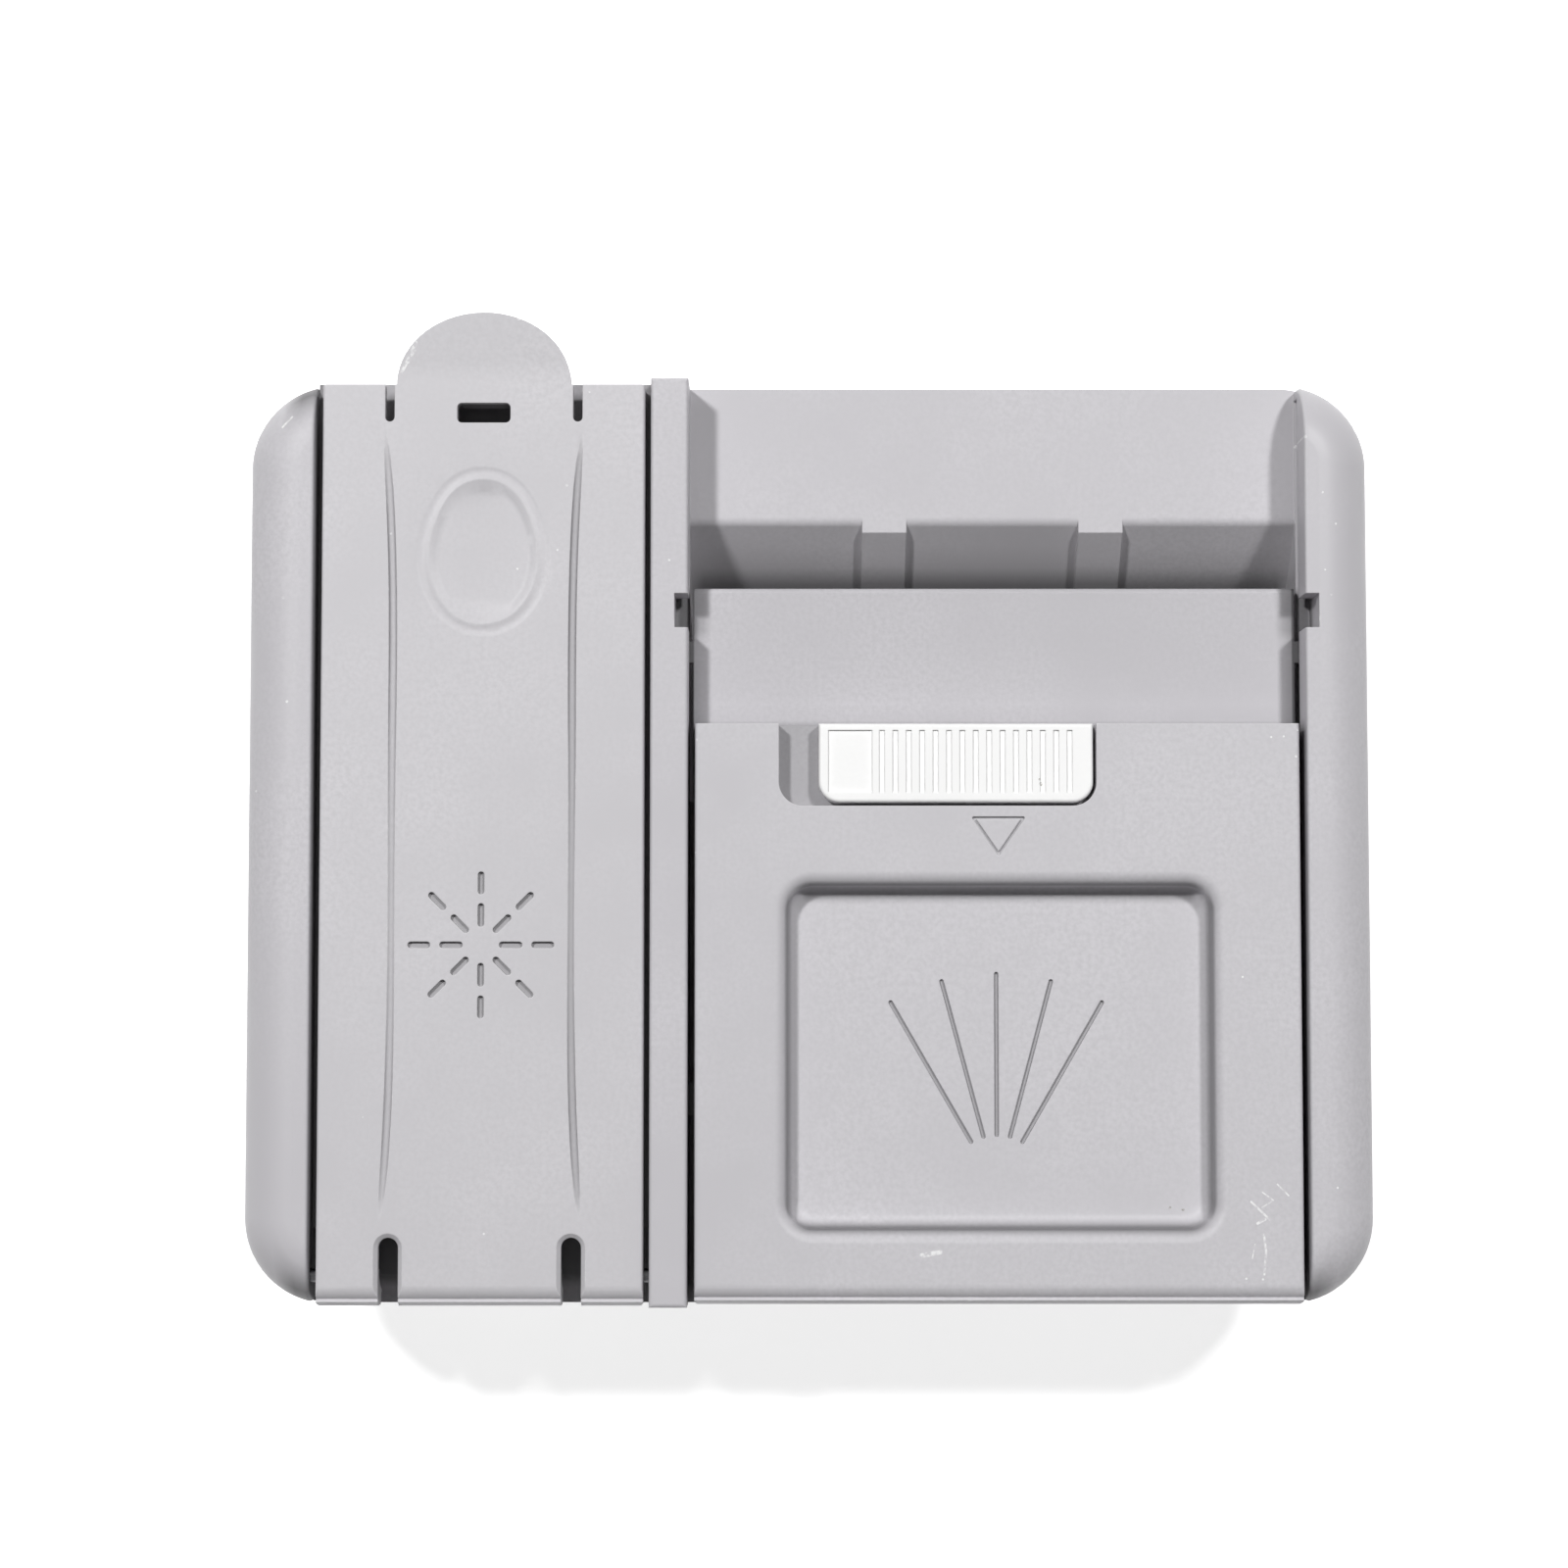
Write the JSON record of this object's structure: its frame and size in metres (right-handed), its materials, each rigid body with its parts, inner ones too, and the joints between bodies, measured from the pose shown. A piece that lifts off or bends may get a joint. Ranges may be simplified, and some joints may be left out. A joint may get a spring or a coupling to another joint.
{
  "type": "dishwasher detergent dispenser",
  "caption": "Door-mounted dispenser with a sliding detergent lid and latch beside a hinged rinse-aid flap with finger tab, with tank, chamber and release gear behind the face.",
  "frame": {"origin": "centre of the four door-screw holes, on the door-liner plane behind the front rim", "axes": "+X right across the face, +Y towards the door's top edge, +Z out of the face"},
  "size_m": [0.165, 0.1449, 0.048],
  "materials": {
    "housing_plastic": "fine moulded grain",
    "flap_plastic": "fine moulded grain",
    "carrier_plastic": "fine moulded grain",
    "cover_plastic": "fine moulded grain",
    "latch_plastic": "smooth white acetal",
    "tank_plastic": "milky natural polypropylene",
    "gasket_rubber": "soft black rubber",
    "seal_rubber": "soft red-brown silicone",
    "pin_steel": "drawn stainless wire",
    "spring_steel": "bright spring steel",
    "dial_plastic": "smooth blue acetal",
    "float_plastic": "foamed white plastic",
    "magnet_ferrite": "sintered ferrite",
    "sensor_plastic": "black potted plastic",
    "terminal_brass": "tinned brass",
    "lever_plastic": "natural acetal",
    "actuator_plastic": "glass-filled black plastic",
    "plunger_plastic": "smooth natural acetal",
    "screw_steel": "zinc-plated steel",
    "valve_plastic": "plain grey plastic",
    "stem_plastic": "smooth natural acetal"
  },
  "bodies": {
    "housing_body": {"housing": "housing_plastic", "door_gasket": "gasket_rubber", "rinse_tank": "tank_plastic", "reed_sensor": "sensor_plastic", "reed_terminals": "terminal_brass", "rinse_lid_pin": "pin_steel", "lever_pin": "pin_steel", "catch_seal": "seal_rubber", "actuator_case": "actuator_plastic", "actuator_terminals": "terminal_brass", "actuator_screws": "screw_steel", "dosing_valve": "valve_plastic", "return_spring": "spring_steel"},
    "flap_body": {"rinse_aid_lid": "flap_plastic", "filler_seal": "seal_rubber"},
    "dial_body": {"dosage_dial": "dial_plastic", "dial_o_ring": "seal_rubber"},
    "float_body": {"level_float": "float_plastic", "float_magnet": "magnet_ferrite"},
    "lid_body": {"lid_carrier": "carrier_plastic", "lid_cover": "cover_plastic", "lid_seal": "seal_rubber", "latch_spring": "spring_steel"},
    "latch_body": {"latch_slider": "latch_plastic"},
    "lever_body": {"release_lever": "lever_plastic"},
    "plunger_body": {"actuator_plunger": "plunger_plastic"},
    "stem_body": {"dosing_stem": "stem_plastic"}
  },
  "joints": [
    {"name": "flap_hinge", "type": "hinge", "parent": "housing_body", "child": "flap_body", "pos_m": [-0.04777, -0.06325, 0.0097], "axis": [1, 0, 0], "range_deg": [0, 105]},
    {"name": "lid_slide", "type": "slide", "parent": "housing_body", "child": "lid_body", "axis": [0, 1, 0], "range_m": [-0.026, 0.029]},
    {"name": "latch_slide", "type": "slide", "parent": "lid_body", "child": "latch_body", "axis": [-1, 0, 0], "range_m": [0, 0.0053], "stiffness_N_per_m": 250, "springref_m": -0.001, "deforming": ["latch_spring"]},
    {"name": "dial_turn", "type": "hinge", "parent": "housing_body", "child": "dial_body", "pos_m": [-0.04777, -0.008, 0.0097], "axis": [0, 0, 1], "range_deg": [-120, 120]},
    {"name": "catch_turn", "type": "hinge", "parent": "housing_body", "child": "lever_body", "pos_m": [-0.0074, -0.024, -0.005], "axis": [1, 0, 0], "range_deg": [0, 6.6], "deforming": ["return_spring"]},
    {"name": "plunger_slide", "type": "slide", "parent": "housing_body", "child": "plunger_body", "axis": [0, 1, 0], "range_m": [0, 0.00178], "stiffness_N_per_m": 200, "springref_m": -0.0015},
    {"name": "stem_slide", "type": "slide", "parent": "housing_body", "child": "stem_body", "axis": [0, 1, 0], "range_m": [0, 0.00178]},
    {"name": "float_slide", "type": "slide", "parent": "housing_body", "child": "float_body", "axis": [0, 1, 0], "range_m": [0, 0.034]}
  ],
  "couplings": [
    {"joint": "catch_turn", "follows": "plunger_slide", "rad_per_m": 64.5},
    {"joint": "stem_slide", "follows": "plunger_slide", "ratio": 1}
  ]
}
